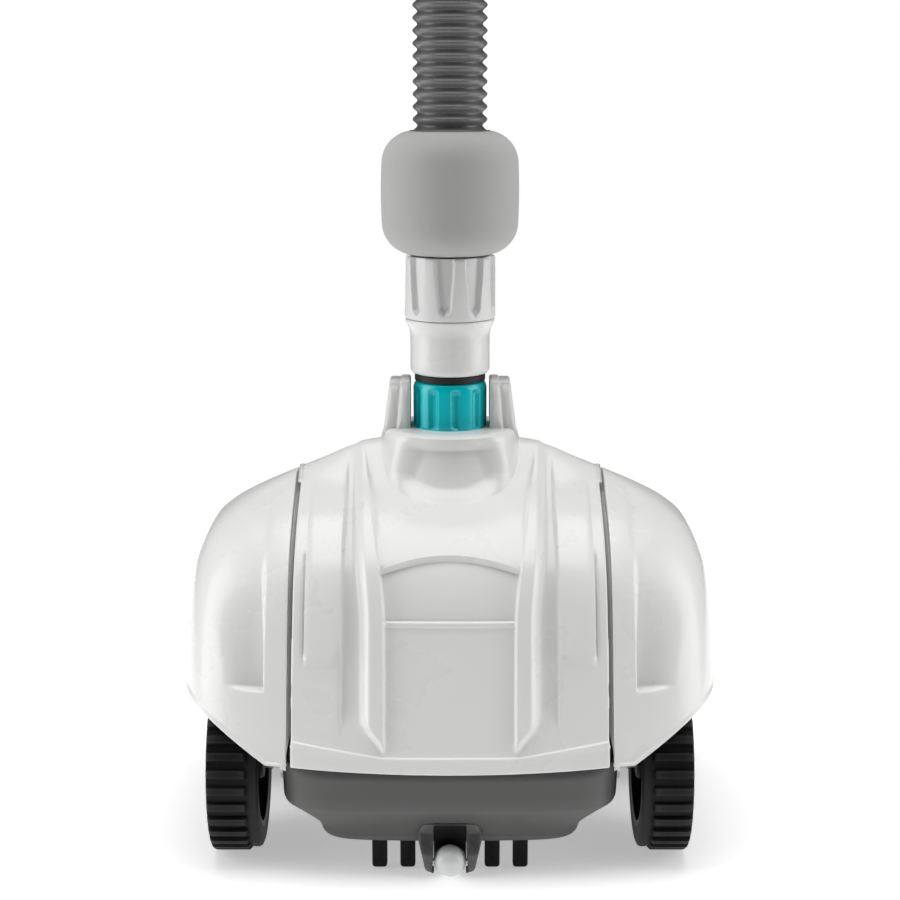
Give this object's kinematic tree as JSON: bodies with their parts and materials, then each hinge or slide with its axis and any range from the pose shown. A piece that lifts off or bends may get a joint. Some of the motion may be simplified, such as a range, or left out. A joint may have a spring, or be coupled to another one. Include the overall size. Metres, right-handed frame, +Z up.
{
  "type": "pool cleaner",
  "caption": "Suction-driven pool cleaner: domed white shell on black treaded wheels, with a turbine drive, a swivelling hose tail and a float.",
  "frame": {"origin": "on the pool floor, under the vertical hose swivel, midway between the wheels", "axes": "+X across the machine, -Y towards the nose, +Z up along the hose"},
  "size_m": [0.307, 0.2596, 0.632],
  "materials": {
    "white_gloss": "glossy moulded ABS, faint mould texture",
    "white_satin": "satin moulded polypropylene",
    "teal_gloss": "glossy moulded, deep blue-green",
    "dark_grey": "satin moulded, dark grey",
    "black_plastic": "matt moulded, black",
    "black_rubber": "soft matt rubber",
    "tyre": "moulded tread rubber, slightly worn",
    "hose_grey": "semi-gloss corrugated hose",
    "float_grey": "fine closed-cell foam skin",
    "ball_white": "polished, milky",
    "natural_nylon": "natural acetal",
    "stainless": "ground stainless steel",
    "ballast_paint": "black-coated iron"
  },
  "bodies": {
    "root": {"top_shell": "white_gloss", "left_fender": "white_gloss", "right_fender": "white_gloss", "base_chassis": "dark_grey", "mouth_frame": "black_plastic", "mouth_skirt": "black_rubber", "front_fingers": "black_rubber", "rear_fingers": "black_rubber", "ballast_weight": "ballast_paint", "nose_bracket": "dark_grey", "nose_ball_pin": "stainless", "turbine_housing_left": "dark_grey", "turbine_housing_right": "dark_grey", "turbine_bushes": "natural_nylon", "gear_pins": "stainless", "gearbox_case": "black_plastic", "gearbox_cover": "black_plastic", "rear_axle_bushes": "natural_nylon", "front_left_stub_axle": "stainless", "front_right_stub_axle": "stainless", "front_axle_clips": "stainless", "suction_duct": "dark_grey", "duct_seal": "black_rubber", "shell_screws": "stainless"},
    "front_left_wheel": {"front_left_tyre": "tyre", "front_left_hub": "black_plastic", "front_left_cap": "black_plastic"},
    "front_right_wheel": {"front_right_tyre": "tyre", "front_right_hub": "black_plastic", "front_right_cap": "black_plastic"},
    "rear_wheels": {"rear_axle": "stainless", "axle_gear": "natural_nylon", "rear_left_tyre": "tyre", "rear_left_hub": "black_plastic", "rear_left_cap": "black_plastic", "rear_right_tyre": "tyre", "rear_right_hub": "black_plastic", "rear_right_cap": "black_plastic", "rear_axle_clips": "stainless"},
    "turbine": {"turbine_wheel": "teal_gloss", "turbine_shaft": "stainless", "turbine_pinion": "natural_nylon"},
    "first_reduction": {"first_reduction_gear": "natural_nylon"},
    "second_reduction": {"second_reduction_gear": "natural_nylon"},
    "nose_roller": {"nose_ball": "ball_white"},
    "lock_ring_turner": {"lock_ring": "teal_gloss"},
    "hose_swivel": {"swivel_neck": "white_gloss", "swivel_spigot": "dark_grey", "swivel_washer": "black_plastic", "fluted_cuff": "white_satin", "hose": "hose_grey", "hose_end_cuff": "hose_grey"},
    "float_slider": {"hose_float": "float_grey"}
  },
  "joints": [
    {"name": "rear_axle_spin", "type": "hinge", "parent": "root", "child": "rear_wheels", "pos_m": [0, 0.066, 0.051], "axis": [1, 0, 0], "continuous": true},
    {"name": "second_reduction_spin", "type": "hinge", "parent": "root", "child": "second_reduction", "pos_m": [0, 0.05386, 0.07843], "axis": [1, 0, 0], "continuous": true},
    {"name": "first_reduction_spin", "type": "hinge", "parent": "root", "child": "first_reduction", "pos_m": [0, 0.02977, 0.09632], "axis": [1, 0, 0], "continuous": true},
    {"name": "turbine_spin", "type": "hinge", "parent": "root", "child": "turbine", "pos_m": [0, 0, 0.1], "axis": [1, 0, 0], "continuous": true},
    {"name": "front_left_wheel_spin", "type": "hinge", "parent": "root", "child": "front_left_wheel", "pos_m": [0, -0.066, 0.051], "axis": [1, 0, 0], "continuous": true},
    {"name": "front_right_wheel_spin", "type": "hinge", "parent": "root", "child": "front_right_wheel", "pos_m": [0, -0.066, 0.051], "axis": [1, 0, 0], "continuous": true},
    {"name": "nose_ball_spin", "type": "hinge", "parent": "root", "child": "nose_roller", "pos_m": [0, -0.114, 0.009], "axis": [1, 0, 0], "continuous": true},
    {"name": "lock_ring_turn", "type": "hinge", "parent": "root", "child": "lock_ring_turner", "pos_m": [0, 0, 0.25], "axis": [0, 0, 1], "range_deg": [0, 60]},
    {"name": "hose_swivel_spin", "type": "hinge", "parent": "root", "child": "hose_swivel", "pos_m": [0, 0, 0.25], "axis": [0, 0, 1], "continuous": true},
    {"name": "float_slide", "type": "slide", "parent": "hose_swivel", "child": "float_slider", "axis": [0, 0, 1], "range_m": [0, 0.125]}
  ],
  "couplings": [
    {"joint": "second_reduction_spin", "follows": "rear_axle_spin", "ratio": -4},
    {"joint": "first_reduction_spin", "follows": "rear_axle_spin", "ratio": 16},
    {"joint": "turbine_spin", "follows": "rear_axle_spin", "ratio": -64}
  ]
}
